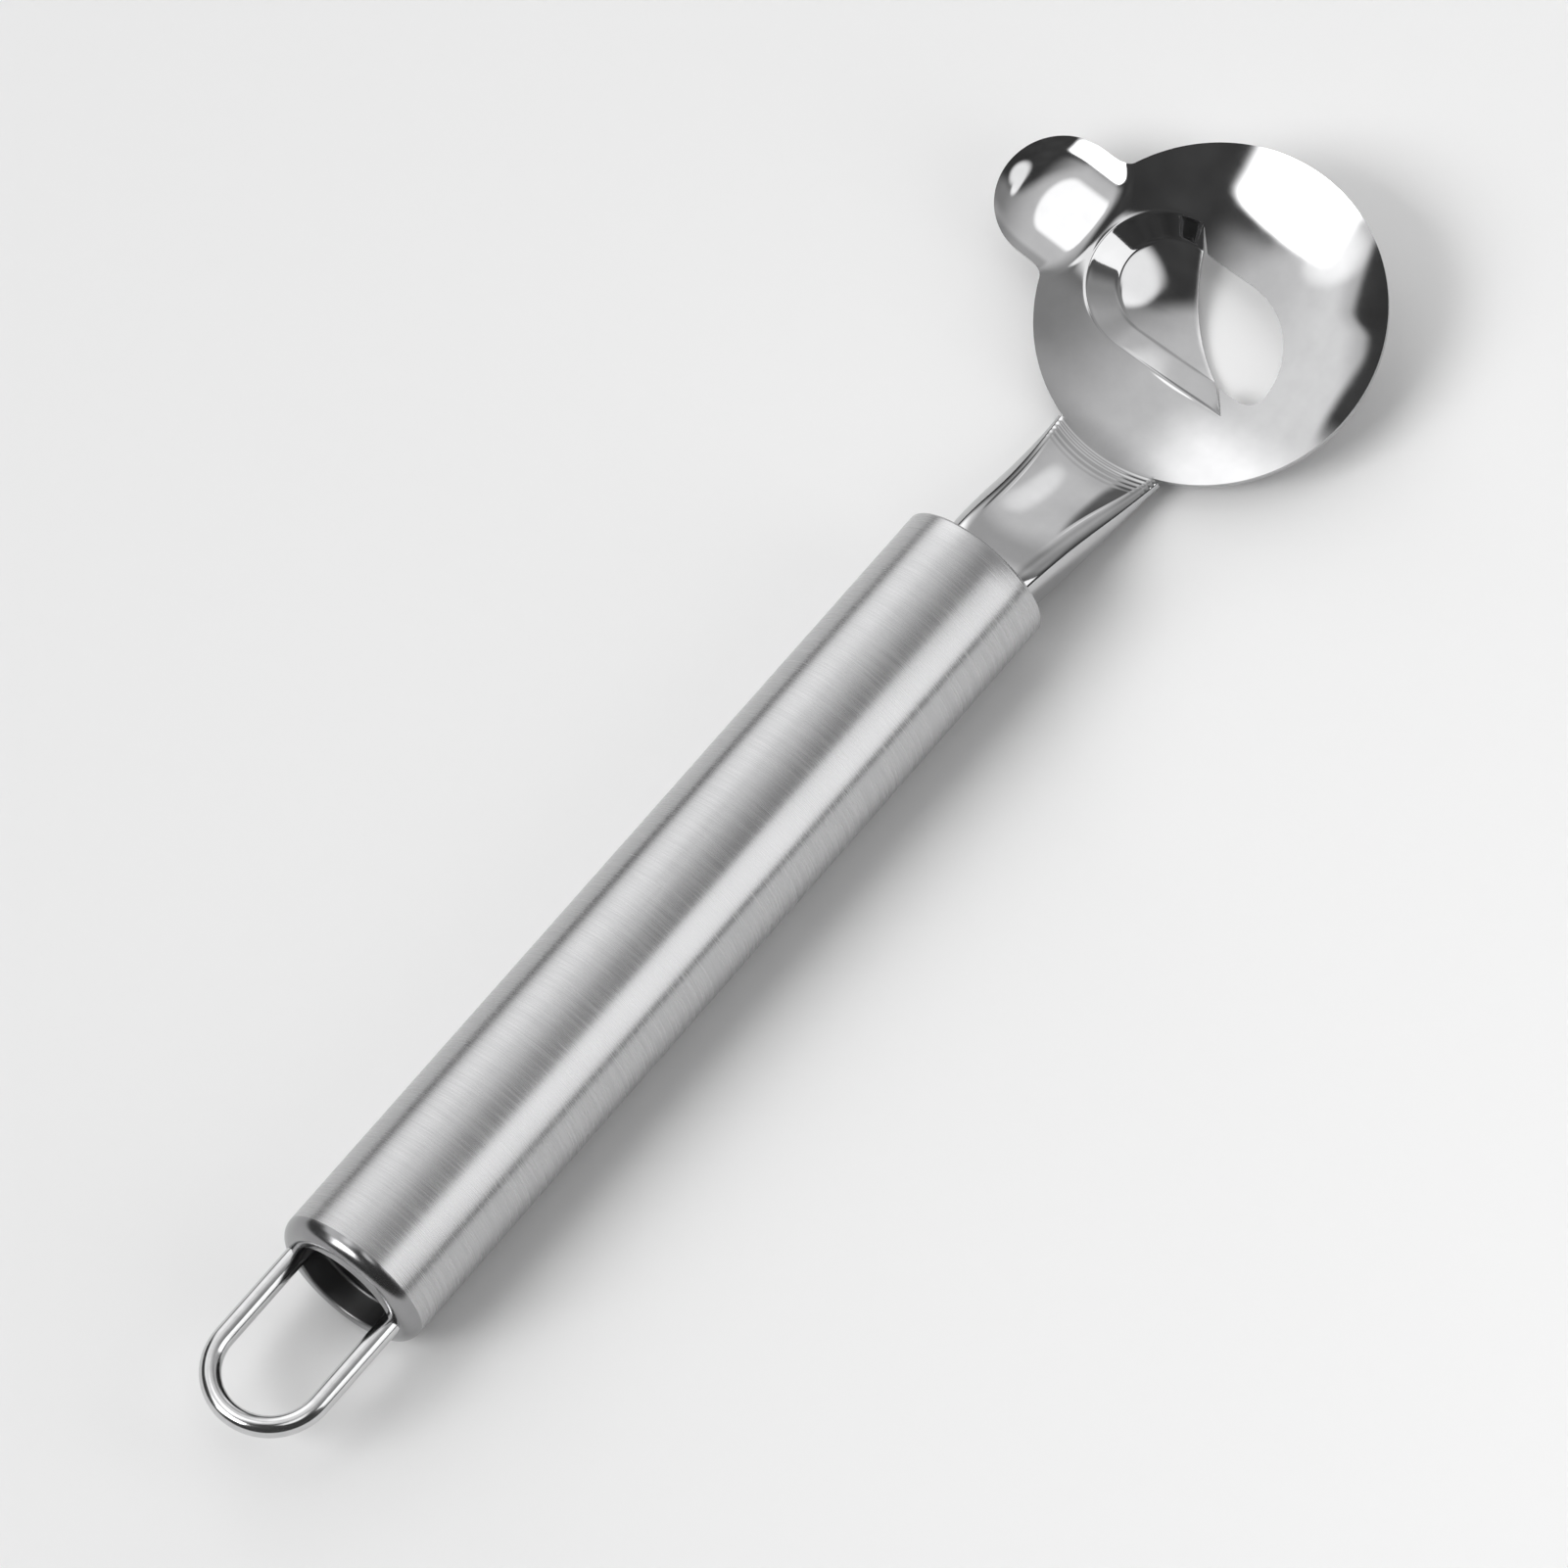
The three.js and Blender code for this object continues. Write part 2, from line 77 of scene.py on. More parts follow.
def grid_faces(rows, columns, loop_rows, loop_columns):
    """Quads of a grid of points, and their corners' (column, row) as UV. A direction that closes
    on itself gets one more strip, from its last line back to its first."""
    i, j = np.meshgrid(np.arange(rows if loop_rows else rows - 1),
                       np.arange(columns if loop_columns else columns - 1), indexing="ij")
    i, j = i.reshape(-1, 1), j.reshape(-1, 1)
    row = i + np.array([[0, 0, 1, 1]])
    column = j + np.array([[0, 1, 1, 0]])
    faces = (row % rows) * columns + column % columns
    return faces, np.stack([column / columns, row / rows], -1)


def new_piece(name, points, faces, uv=None):
    """Smooth mesh object from points in millimetres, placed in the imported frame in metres.
    Points that meet are welded, which closes seams and poles, and faces are turned outwards."""
    place = np.array([MOUTH_FROM_MIDDLE, 0, AXIS_HEIGHT])
    mesh = bpy.data.meshes.new(name)
    mesh.from_pydata((points.reshape(-1, 3) + place) * MM, [], faces)
    if uv is not None:
        mesh.uv_layers.new(name="UVMap").uv.foreach_set("vector", uv.reshape(-1))
    shell = bmesh.new()
    shell.from_mesh(mesh)
    bmesh.ops.remove_doubles(shell, verts=shell.verts, dist=1e-4 * MM)
    bmesh.ops.dissolve_degenerate(shell, edges=shell.edges, dist=1e-5 * MM)
    bmesh.ops.recalc_face_normals(shell, faces=shell.faces)
    shell.to_mesh(mesh)
    shell.free()
    mesh.polygons.foreach_set("use_smooth", np.ones(len(mesh.polygons), bool))
    piece = bpy.data.objects.new(name, mesh)
    bpy.context.scene.collection.objects.link(piece)
    return piece


def round_edges(piece, width, segments):
    """Break the piece's sharp edges with a small round."""
    bevel = piece.modifiers.new("edge_round", "BEVEL")
    bevel.width = width * MM
    bevel.segments = segments
    bevel.limit_method = "ANGLE"
    bevel.angle_limit = CUT_CORNER
    bevel.harden_normals = True


class Value:
    """A socket of a material's nodes. Arithmetic on it adds Math nodes."""

    def __init__(self, socket):
        self.socket = socket

    def node(self, kind, settings, inputs, output=0):
        """Add a node of this kind: its settings first, then its inputs' values or links."""
        tree = self.socket.id_data
        made = tree.nodes.new(kind)
        for key, setting in settings.items():
            setattr(made, key, setting)
        for key, value in inputs.items():
            if isinstance(value, Value):
                tree.links.new(value.socket, made.inputs[key])
            else:
                made.inputs[key].default_value = value
        return Value(made.outputs[output])

    def math(self, operation, first, second):
        return self.node("ShaderNodeMath", {"operation": operation}, {0: first, 1: second})

    def __add__(self, other):
        return self.math("ADD", self, other)

    def __radd__(self, other):
        return self.math("ADD", other, self)

    def __sub__(self, other):
        return self.math("SUBTRACT", self, other)

    def __rsub__(self, other):
        return self.math("SUBTRACT", other, self)

    def __mul__(self, other):
        return self.math("MULTIPLY", self, other)

    def __rmul__(self, other):
        return self.math("MULTIPLY", other, self)


def metal(name, constants):
    """New metal material: its shader with the constants set on the sockets, and its place on the
    object as the start of its patterns."""
    material = bpy.data.materials.new(name)
    material.use_nodes = True
    shader = material.node_tree.nodes["Principled BSDF"]
    for key, value in constants.items():
        shader.inputs[key].default_value = value
    place = material.node_tree.nodes.new("ShaderNodeTexCoord").outputs["Object"]
    return material, shader, Value(place)


def feed(shader, links):
    """Link worked-out values to the shader's sockets."""
    for key, value in links.items():
        shader.id_data.links.new(value.socket, shader.inputs[key])


def noise(place, scale, detail, stretch=(1, 1, 1)):
    """Noise of about 0 to 1 with a number of features per metre, stretched along the axes."""
    moved = place.node("ShaderNodeMapping", {}, {"Vector": place, "Scale": stretch})
    return place.node("ShaderNodeTexNoise", {}, {"Vector": moved, "Scale": scale, "Detail": detail})


def tint(place, amount, dark, light):
    """Colour between a dark and a light one by an amount from 0 to 1."""
    return place.node("ShaderNodeMix", {"data_type": "RGBA"},
                      {0: amount, 6: dark, 7: light}, output=2)


mouth = arc(-MOUTH_ROUND, TUBE_RADIUS - MOUTH_ROUND, MOUTH_ROUND, np.pi / 2, 0, MOUTH_STEPS)
bore = TUBE_RADIUS - TUBE_WALL
along = np.linspace(-TUBE_LENGTH, -MOUTH_ROUND, TUBE_ROWS)[:-1]
outside = np.stack([along, np.full_like(along, TUBE_RADIUS)], -1)
inside = np.stack([along[::-1], np.full_like(along, bore)], -1)
tube_profile = np.concatenate([outside, mouth, [[0, bore]], inside])
tube_points = turned(tube_profile, TUBE_SIDES)
tube_faces, tube_uv = grid_faces(len(tube_profile), TUBE_SIDES, True, True)
handle_tube = new_piece("handle_tube_skin", tube_points, tube_faces, tube_uv)
handle_tube.data.set_sharp_from_angle(angle=CREASE)

satin, satin_shader, spot = metal("satin_ring_brushed", {"Metallic": 1.0, "Anisotropic": 0.3})
rings = noise(spot, 1, 3, RING_GRAIN)
blotches = noise(spot, 90, 2)
feed(satin_shader, {
    "Base Color": tint(spot, rings, SATIN_DARK, SATIN_LIGHT),
    "Roughness": 0.19 + 0.11 * rings + 0.05 * blotches,
    "Normal": spot.node("ShaderNodeBump", {}, {"Height": rings, "Strength": 0.25, "Distance": 0.02 * MM}),
})
handle_tube.data.materials.append(satin)
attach(handle_tube, "root")
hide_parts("handle_tube")


# Rear cap
# A cup pressed from thin stainless sheet, with a round shoulder and a round recess.
# Its skirt is pushed into the tube, and the shoulder closes flush with the tube's outside.
CAP_WALL = 0.6
CAP_SKIRT = 6
PLUG_CLEARANCE = 0.2
SHOULDER_RADIUS = 2.2
RECESS_RADIUS = 6.8
RECESS_DEPTH = 3.6
RECESS_EDGE = 0.35
RECESS_CORNER = 0.5
CORNER_STEPS = 6
LIP_STEPS = 8
SHOULDER_STEPS = 20
INSIDE_STEPS = 12
CAP_DARK = (0.26, 0.26, 0.265, 1)
CAP_LIGHT = (0.40, 0.40, 0.405, 1)
RECESS_SHADE = (0.06, 0.06, 0.06, 1)
SHADE_OUTSIDE = 0.3
SHADE_INSIDE = 0.2
cap_face = -TUBE_LENGTH - SHOULDER_RADIUS
recess_floor = cap_face + RECESS_DEPTH
plug_radius = bore - PLUG_CLEARANCE
shoulder_foot = TUBE_RADIUS - SHOULDER_RADIUS
inner_shoulder = SHOULDER_RADIUS - CAP_WALL
skirt_bore = plug_radius - CAP_WALL
skirt_end = CAP_SKIRT - TUBE_LENGTH
recess_back = recess_floor + CAP_WALL
recess_outside = RECESS_RADIUS + CAP_WALL
skirt_turn = np.pi - np.arcsin((skirt_bore - shoulder_foot) / inner_shoulder)
cap_profile = np.concatenate([
    [[recess_floor, 0], [recess_floor, RECESS_RADIUS / 2]],
    arc(recess_floor - RECESS_CORNER, RECESS_RADIUS - RECESS_CORNER, RECESS_CORNER,
        0, np.pi / 2, CORNER_STEPS),
    arc(cap_face + RECESS_EDGE, RECESS_RADIUS + RECESS_EDGE, RECESS_EDGE, 1.5 * np.pi, np.pi, LIP_STEPS),
    arc(-TUBE_LENGTH, shoulder_foot, SHOULDER_RADIUS, np.pi, np.pi / 2, SHOULDER_STEPS),
    [[-TUBE_LENGTH, plug_radius], [skirt_end, plug_radius], [skirt_end, skirt_bore]],
    arc(-TUBE_LENGTH, shoulder_foot, inner_shoulder, skirt_turn, np.pi, INSIDE_STEPS),
    [[cap_face + CAP_WALL, recess_outside], [recess_back, recess_outside], [recess_back, 0]],
])
cap_faces, _ = grid_faces(len(cap_profile), TUBE_SIDES, False, True)
rear_cap = new_piece("rear_cap_cup", turned(cap_profile, TUBE_SIDES), cap_faces)
rear_cap.data.set_sharp_from_angle(angle=CREASE)

pressed, pressed_shader, spot = metal("pressed_cap_steel", {"Metallic": 1.0})
haze = noise(spot, 260, 3)
across_axis = spot.node("ShaderNodeMapping", {}, {
    "Vector": spot, "Location": (0, 0, -AXIS_HEIGHT * MM), "Scale": (0, 1, 1)})
from_axis = spot.node("ShaderNodeVectorMath", {"operation": "LENGTH"}, {0: across_axis}, output="Value")
# Painted shade: within the recess's radius of the axis the steel is painted near black and made rougher,
# fading out over the recess's edge.
painted_recess_shade = spot.node("ShaderNodeMapRange", {}, {
    "Value": from_axis,
    "From Min": (RECESS_RADIUS + SHADE_OUTSIDE) * MM,
    "From Max": (RECESS_RADIUS - SHADE_INSIDE) * MM,
})
outer_steel = tint(spot, haze, CAP_DARK, CAP_LIGHT)
feed(pressed_shader, {
    "Base Color": tint(spot, painted_recess_shade, outer_steel, RECESS_SHADE),
    "Roughness": 0.16 + 0.10 * haze + 0.25 * painted_recess_shade,
})
rear_cap.data.materials.append(pressed)
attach(rear_cap, "root")
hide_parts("rear_cap")


# Front cap
# A small plug pressed from the same sheet, just inside the tube's mouth round the neck.
# It is slotted for the neck's channel, so its imported shape is kept and it gets the rear cap's material,
# whose painted recess shade also darkens it near the axis.
front_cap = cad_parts["front_cap"]
front_cap.data.materials.clear()
front_cap.data.materials.append(pressed)


# Hanging loop
# One length of bright stainless wire, bent to a half-round end with two straight legs.
# The legs pass through the cap at the edge of its recess and are welded behind it.
WIRE_RADIUS = 1.325
LOOP_PITCH = 14.2
LOOP_REACH = 21.5
LOOP_TAIL = 3
WIRE_SIDES = 32
BEND_STEPS = 97
LEG_STEPS = 24
WIRE_DARK = (0.56, 0.56, 0.565, 1)
WIRE_LIGHT = (0.68, 0.68, 0.685, 1)


def wire(path, heading, radius, sides):
    """Round tube in the table's plane: a circle of the wire's radius stands across the path at each
    point, with its sideways axis turned a quarter turn from the heading there."""
    turn = np.linspace(0, 2 * np.pi, sides, endpoint=False)
    across, up = radius * np.cos(turn), radius * np.sin(turn)
    heading = heading[:, None]
    x = path[:, :1] - across * np.sin(heading)
    y = path[:, 1:] + across * np.cos(heading)
    return np.stack([x, y, up + 0 * x], -1)


leg_offset = LOOP_PITCH / 2
leg_end = recess_back + LOOP_TAIL
bend_x = cap_face - LOOP_REACH + leg_offset + WIRE_RADIUS
bend_turn = np.linspace(np.pi / 2, 1.5 * np.pi, BEND_STEPS)
bend = arc(bend_x, 0, leg_offset, np.pi / 2, 1.5 * np.pi, BEND_STEPS)
leg_x = np.linspace(leg_end, bend_x, LEG_STEPS)[:-1]
first_leg = np.stack([leg_x, np.full_like(leg_x, leg_offset)], -1)
loop_path = np.concatenate([first_leg, bend, first_leg[::-1] * [1, -1]])
outward, homeward = np.full(len(leg_x), np.pi), np.full(len(leg_x), 2 * np.pi)
loop_heading = np.concatenate([outward, bend_turn + np.pi / 2, homeward])
loop_points = wire(loop_path, loop_heading, WIRE_RADIUS, WIRE_SIDES)
loop_points = np.concatenate([
    np.broadcast_to(loop_points[:1].mean(1, keepdims=True), (1, WIRE_SIDES, 3)),
    loop_points,
    np.broadcast_to(loop_points[-1:].mean(1, keepdims=True), (1, WIRE_SIDES, 3)),
])
loop_faces, _ = grid_faces(len(loop_points), WIRE_SIDES, False, True)
hanging_loop = new_piece("hanging_loop_wire", loop_points, loop_faces)
hanging_loop.data.set_sharp_from_angle(angle=CREASE)

bright, bright_shader, spot = metal("bright_drawn_wire", {"Metallic": 1.0})
drawn = noise(spot, 700, 2)
feed(bright_shader, {
    "Base Color": tint(spot, drawn, WIRE_DARK, WIRE_LIGHT),
    "Roughness": 0.10 + 0.08 * drawn,
})
hanging_loop.data.materials.append(bright)
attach(hanging_loop, "root")
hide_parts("hanging_loop")


# Blade head
# One stamped stainless sheet: a dished bowl with a spoon lobe, an opening punched beside a slanted
# cutting line, a scoop blade pressed down on the line's other side, and a channel neck with its tang.
# The whole head is mirror polished, and its cut edges are lightly broken.
SHEET = 0.8
BOWL_RADIUS = 21.38
BOWL_DEPTH = 4.6
BOWL_REACH = 44.7
BOWL_DROP = 1.82
BOWL_PITCH = np.radians(12.6)
LOBE_X, LOBE_Y = 1.1, 23.7
LOBE_RADIUS = 7.98
LOBE_DEPTH = 1.4
DISH_BLEND = 0.45
NOTCH_BLEND = 2.4
CUT_ANGLE = np.radians(42)
CUT_OFFSET = 0.25
HOLE_HALF_WIDTH = 6.35
HOLE_SWEEP = 10.4
HOLE_REACH = 10.7
SCOOP_HALF_WIDTH = 9.05
SCOOP_ARC_Y = 7.8
FLOOR_X = 0.5
FLOOR_HALF_WIDTH = 6.1
FLOOR_SETBACK = 0.7
WALL_DEPTH = 1.8
EDGE_DEPTH = 2.22
EDGE_HOLLOW = 1.4
GROUND_WIDTH = 0.45
BEND_ROUND = 0.3
BEAD_HEIGHT = 0.05
BEAD_WIDTH = 0.22
NECK_WIDTH = 12.8
NECK_RISE = 1.2
NECK_BEND = 2.8
FLANGE_AT_TUBE = 5.9
FLANGE_AT_BOWL = 1.2
NECK_FLARE = 0.4
FLARE_POWER = 6
NECK_SPREAD = 0.9
SPREAD_POWER = 3
BEND_LIMIT = 0.9
BEND_FADE = 1.6
TANG_LENGTH = 24
RIPPLE_HEIGHT = 0.06
RIPPLE_PITCH = 0.75
RIPPLE_REACH = 0.8
RIPPLE_START = 0.85
SMALLEST_ROUND = 0.02
STEEPEST_COSINE = 0.3
INNER_BEND = 0.1
EDGE_BREAK = 0.12
POLISH_DARK = (0.49, 0.49, 0.495, 1)
POLISH_LIGHT = (0.56, 0.56, 0.565, 1)
GROUND_LIGHT = (0.72, 0.72, 0.725, 1)
RUB_GRAIN = (2600, 260, 260)
NECK_COLUMNS = 61
NOTCH_COLUMNS = 41
LOBE_COLUMNS = 121
SIDE_COLUMNS = 51
TIP_COLUMNS = 31
CUT_STEPS = 13
HOLE_SIDE_STEPS = 9
HOLE_CORNER_STEPS = 17
HOLE_SWEEP_STEPS = 65
HOLE_FAR_STEPS = 25
RIM_ROWS = 33
SCOOP_ROWS = 19
TANG_ROWS = 13
NECK_ROWS = 61
FLANGE_COLUMNS = 10
BEND_COLUMNS = 11


def mix(a, b, t):
    """Straight blend from a at t = 0 to b at t = 1."""
    return a + (b - a) * t


def soft_max(a, b, blend):
    """The larger of two heights, rounded where they come within the blend of each other."""
    near = np.maximum(0, 1 - np.abs(a - b) / blend)
    return np.maximum(a, b) + near * near * blend / 4


lobe_distance = np.hypot(LOBE_X, LOBE_Y)
lobe_angle = np.arctan2(LOBE_Y, LOBE_X)
notch_turn = np.arcsin(LOBE_RADIUS / BOWL_RADIUS)


def dish_depth(x, y):
    """Depth under the rim's plane: the bowl's shallow paraboloid, and the lobe's trough, which runs
    from the bowl out to a round end. With q as the squared share of the way from the trough's line
    to the rim, its depth is D (1 - (q + q q) / 2). The two are blended where they meet."""
    bowl = BOWL_DEPTH * (1 - (x * x + y * y) / BOWL_RADIUS ** 2)
    along = x * np.cos(lobe_angle) + y * np.sin(lobe_angle)
    across = y * np.cos(lobe_angle) - x * np.sin(lobe_angle)
    past = along - np.clip(along, 0, lobe_distance)
    q = (across ** 2 + past ** 2) / LOBE_RADIUS ** 2
    lobe = LOBE_DEPTH * (1 - (q + q * q) / 2)
    return soft_max(bowl, lobe, DISH_BLEND)


def rim_point(angle):
    """Rim in the direction of an angle: the bowl's circle, or the lobe's straight sides and half
    circle where they are further out."""
    turn = angle - lobe_angle
    across = np.maximum(np.abs(np.sin(turn)), 1e-9)
    side = np.where(np.cos(turn) > 0, LOBE_RADIUS / across, 0)
    half = np.sqrt(np.maximum(LOBE_RADIUS ** 2 - (lobe_distance * across) ** 2, 0))
    lobe = np.where(side * np.cos(turn) < lobe_distance, side, lobe_distance * np.cos(turn) + half)
    radius = soft_max(BOWL_RADIUS, lobe, NOTCH_BLEND)
    return np.stack([radius * np.cos(angle), radius * np.sin(angle)], -1)


def cut_y(x, off):
    """Height of the cutting line at x, shifted by off into the scoop."""
    return (CUT_OFFSET + off + x * np.sin(CUT_ANGLE)) / np.cos(CUT_ANGLE)


def cut_turn(cx, cy, radius, off):
    """Angle at which a circle's right side meets the cutting line."""
    height = CUT_OFFSET + off + cx * np.sin(CUT_ANGLE) - cy * np.cos(CUT_ANGLE)
    return CUT_ANGLE + np.arcsin(height / radius)


scoop_start = cut_turn(0, SCOOP_ARC_Y, SCOOP_HALF_WIDTH, 0)
scoop_top = np.array([SCOOP_HALF_WIDTH * np.cos(scoop_start),
                      SCOOP_ARC_Y + SCOOP_HALF_WIDTH * np.sin(scoop_start)])
scoop_tip = np.array([-SCOOP_HALF_WIDTH, cut_y(-SCOOP_HALF_WIDTH, 0)])
floor_start = cut_turn(FLOOR_X, SCOOP_ARC_Y, FLOOR_HALF_WIDTH, FLOOR_SETBACK)


def scoop_point(angle):
    """Scoop's outer bend line in the direction of an angle: a straight side, then a half circle."""
    side = -SCOOP_HALF_WIDTH / np.minimum(np.cos(angle), -1e-6)
    on_side = (np.cos(angle) < 0) & (side * np.sin(angle) < SCOOP_ARC_Y)
    reach = np.sqrt(np.maximum(SCOOP_HALF_WIDTH ** 2 - (SCOOP_ARC_Y * np.cos(angle)) ** 2, 0))
    radius = np.where(on_side, side, SCOOP_ARC_Y * np.sin(angle) + reach)
    return np.stack([radius * np.cos(angle), radius * np.sin(angle)], -1)


def floor_point(bend_line):
    """Scoop's inner bend line beside points of the outer one: straight side and arc, matched by share."""
    x, y = bend_line[:, 0], bend_line[:, 1]
    left = FLOOR_X - FLOOR_HALF_WIDTH
    down = (SCOOP_ARC_Y - y) / (SCOOP_ARC_Y - scoop_tip[1])
    side = np.stack([0 * x + left, mix(SCOOP_ARC_Y, cut_y(left, FLOOR_SETBACK), down)], -1)
    share = (np.arctan2(y - SCOOP_ARC_Y, x) - scoop_start) / (np.pi - scoop_start)
    turn = mix(floor_start, np.pi, share)
    top = FLOOR_HALF_WIDTH * np.stack([np.cos(turn), np.sin(turn)], -1) + [FLOOR_X, SCOOP_ARC_Y]
    return np.where(((y < SCOOP_ARC_Y) & (x < 0))[:, None], side, top)


def place_head(x, y, depth):
    """Head's own plane to the tool: pitched up towards the tip, then moved out along the handle."""
    c, s = np.cos(BOWL_PITCH), np.sin(BOWL_PITCH)
    return np.stack([BOWL_REACH + x * c + depth * s, y, x * s - depth * c - BOWL_DROP], -1)


def ramp(d, soft):
    """Distance past a bend line, 0 before it, with the bend rounded over soft on both sides."""
    curved = (d + soft) ** 2 / (4 * soft)
    return np.where(np.abs(d) < soft, curved, np.maximum(d, 0))


# Columns run from the rim to the scoop's bend line, and past its ends to the edge of the opening
flange_end_width = NECK_WIDTH / 2 + NECK_FLARE + NECK_SPREAD - BEND_LIMIT * FLANGE_AT_BOWL
neck_share = np.linspace(1, -1, NECK_COLUMNS)
neck_angles = np.pi - np.arcsin(flange_end_width * neck_share / BOWL_RADIUS)
start_angle = np.arctan2(scoop_top[1], scoop_top[0])
end_angle = np.arctan2(scoop_tip[1], scoop_tip[0]) + 2 * np.pi
scoop_angles = np.concatenate([
    np.linspace(start_angle, lobe_angle - notch_turn, NOTCH_COLUMNS)[:-1],
    np.linspace(lobe_angle - notch_turn, lobe_angle + notch_turn, LOBE_COLUMNS)[:-1],
    np.linspace(lobe_angle + notch_turn, neck_angles[0], SIDE_COLUMNS)[:-1],
    neck_angles[:-1],
    np.linspace(neck_angles[-1], end_angle, TIP_COLUMNS),
])
sweep_x, sweep_y = HOLE_HALF_WIDTH - HOLE_SWEEP, HOLE_SWEEP - HOLE_REACH
corner = 2 * HOLE_HALF_WIDTH - HOLE_SWEEP
hole_low = np.array([-HOLE_HALF_WIDTH, cut_y(-HOLE_HALF_WIDTH, 0)])
hole_high = np.array([HOLE_HALF_WIDTH, cut_y(HOLE_HALF_WIDTH, 0)])
opening = np.concatenate([
    np.linspace(scoop_tip, hole_low, CUT_STEPS)[1:],
    np.linspace(hole_low, [-HOLE_HALF_WIDTH, corner - HOLE_REACH], HOLE_SIDE_STEPS)[1:],
    arc(sweep_x, corner - HOLE_REACH, corner, np.pi, 1.5 * np.pi, HOLE_CORNER_STEPS)[1:],
    arc(sweep_x, sweep_y, HOLE_SWEEP, 1.5 * np.pi, 2 * np.pi, HOLE_SWEEP_STEPS)[1:],
    np.linspace([HOLE_HALF_WIDTH, sweep_y], hole_high, HOLE_FAR_STEPS)[1:],
    np.linspace(hole_high, scoop_top, CUT_STEPS)[1:-1],
])
opening_steps = np.linalg.norm(np.diff(np.concatenate([[scoop_tip], opening, [scoop_top]]), axis=0), axis=1)
opening_share = np.cumsum(opening_steps)[:-1] / opening_steps.sum()
opening_angles = mix(end_angle, start_angle + 2 * np.pi, opening_share)
scoop_line = scoop_point(scoop_angles)
rim = rim_point(np.concatenate([scoop_angles, opening_angles]))
inner = np.concatenate([scoop_line, opening])

# Bowl and lobe: rows close up towards the bend line, where the sheet starts to turn down
scoop_count = len(scoop_angles)
share = np.linspace(0, 1, scoop_count)
bow = 4 * share * (1 - share)
foot = floor_point(scoop_line)
wall_width = np.linalg.norm(foot - scoop_line, axis=1)
soft = BEND_ROUND * np.minimum(1, 4 * bow) + SMALLEST_ROUND
reach = np.linalg.norm(rim - inner, axis=1)
near_rows = np.array([0, 0.07, 0.14, 0.21, 0.28, 0.36, 0.5])
far_rows = np.linspace(0, 1, RIM_ROWS)[1:]
to_rim = mix(near_rows[-1], reach, far_rows[:, None])
from_bend = np.concatenate([near_rows[:, None] + 0 * reach, to_rim])[::-1]
plan = inner + (rim - inner) * (from_bend / reach)[:, :, None]
bowl_depth = dish_depth(plan[:, :, 0], plan[:, :, 1])
slope = WALL_DEPTH / wall_width
bowl_depth[:, :scoop_count] += slope * ramp(-from_bend[:, :scoop_count], soft)
bead = BEAD_HEIGHT * np.minimum(1, 4 * bow)
bowl_depth[:, :scoop_count] -= bead * np.exp(-(from_bend[:, :scoop_count] / BEAD_WIDTH) ** 2)

# Scoop: its wall down to the inner bend line, then its floor on to the hollow cutting edge
chord = mix(foot[0], foot[-1], share[:, None])
edge = chord + EDGE_HOLLOW * bow[:, None] * np.array([-np.sin(CUT_ANGLE), np.cos(CUT_ANGLE)])
eased = 0.5 - 0.5 * np.cos(np.linspace(0, np.pi, SCOOP_ROWS))
wall_plan = scoop_line + (foot - scoop_line) * eased[:, None, None]
floor_plan = foot + (edge - foot) * eased[1:, None, None]
scoop_plan = np.concatenate([wall_plan, floor_plan])
floor_width = np.linalg.norm(edge - foot, axis=1)
past_bend = np.concatenate([eased[:, None] * wall_width, wall_width + eased[1:, None] * floor_width])
pressed_down = slope * (ramp(past_bend, soft) - ramp(past_bend - wall_width, soft))
to_edge = np.concatenate([0 * eased, eased[1:]])[:, None]
scoop_depth = dish_depth(scoop_plan[:, :, 0], scoop_plan[:, :, 1])
scoop_depth += pressed_down + (EDGE_DEPTH - WALL_DEPTH) * to_edge * bow
scoop_depth -= bead * np.exp(-(past_bend / BEAD_WIDTH) ** 2)

# Neck: a plate that falls from the tube to the rim, with its sides bent down as flanges
to_bend = np.linspace(1, 0, FLANGE_COLUMNS + 1)[:-1]
to_plate = np.linspace(1, 0, BEND_COLUMNS)
flat_columns = np.zeros(len(neck_share) - 2)
drop_share = np.concatenate([to_bend, 0 * to_plate, flat_columns, 0 * to_plate, to_bend[::-1]])
bend_share = np.concatenate([to_bend ** 0, to_plate, flat_columns, to_plate[::-1], to_bend ** 0])
one_side = np.ones(FLANGE_COLUMNS + BEND_COLUMNS)
plate_share = np.concatenate([one_side, neck_share[1:-1], -one_side])
end_run = np.sqrt(BOWL_RADIUS ** 2 - (flange_end_width * plate_share) ** 2)
end_x = BOWL_REACH - end_run * np.cos(BOWL_PITCH)
end_z = -BOWL_DROP - end_run * np.sin(BOWL_PITCH)
end_slope = np.tan(BOWL_PITCH - np.arctan(2 * BOWL_DEPTH * end_run / BOWL_RADIUS ** 2))
tang = np.linspace(-TANG_LENGTH, 0, TANG_ROWS)[:-1, None]
smooth_part = np.linspace(0, RIPPLE_START, NECK_ROWS)
rippled_part = np.linspace(RIPPLE_START, 1, NECK_ROWS)[1:]
t = np.concatenate([0 * tang[:, 0], smooth_part, rippled_part])[:, None]
neck_x = t * end_x
neck_x[:len(tang)] = tang
plate = mix(NECK_RISE, end_z, t * t * (3 - 2 * t)) + end_slope * end_x * t * t * (t - 1)
from_rim = (1 - t) * end_x
ripple = RIPPLE_HEIGHT * from_rim * np.exp(-from_rim / RIPPLE_REACH)
plate += ripple * np.sin(2 * np.pi * from_rim / RIPPLE_PITCH)
flange_z = mix(NECK_RISE - FLANGE_AT_TUBE, end_z[0] - FLANGE_AT_BOWL, t)
spread = NECK_SPREAD * (1 - (1 - t) ** SPREAD_POWER)
half_width = NECK_WIDTH / 2 + NECK_FLARE * t ** FLARE_POWER + spread
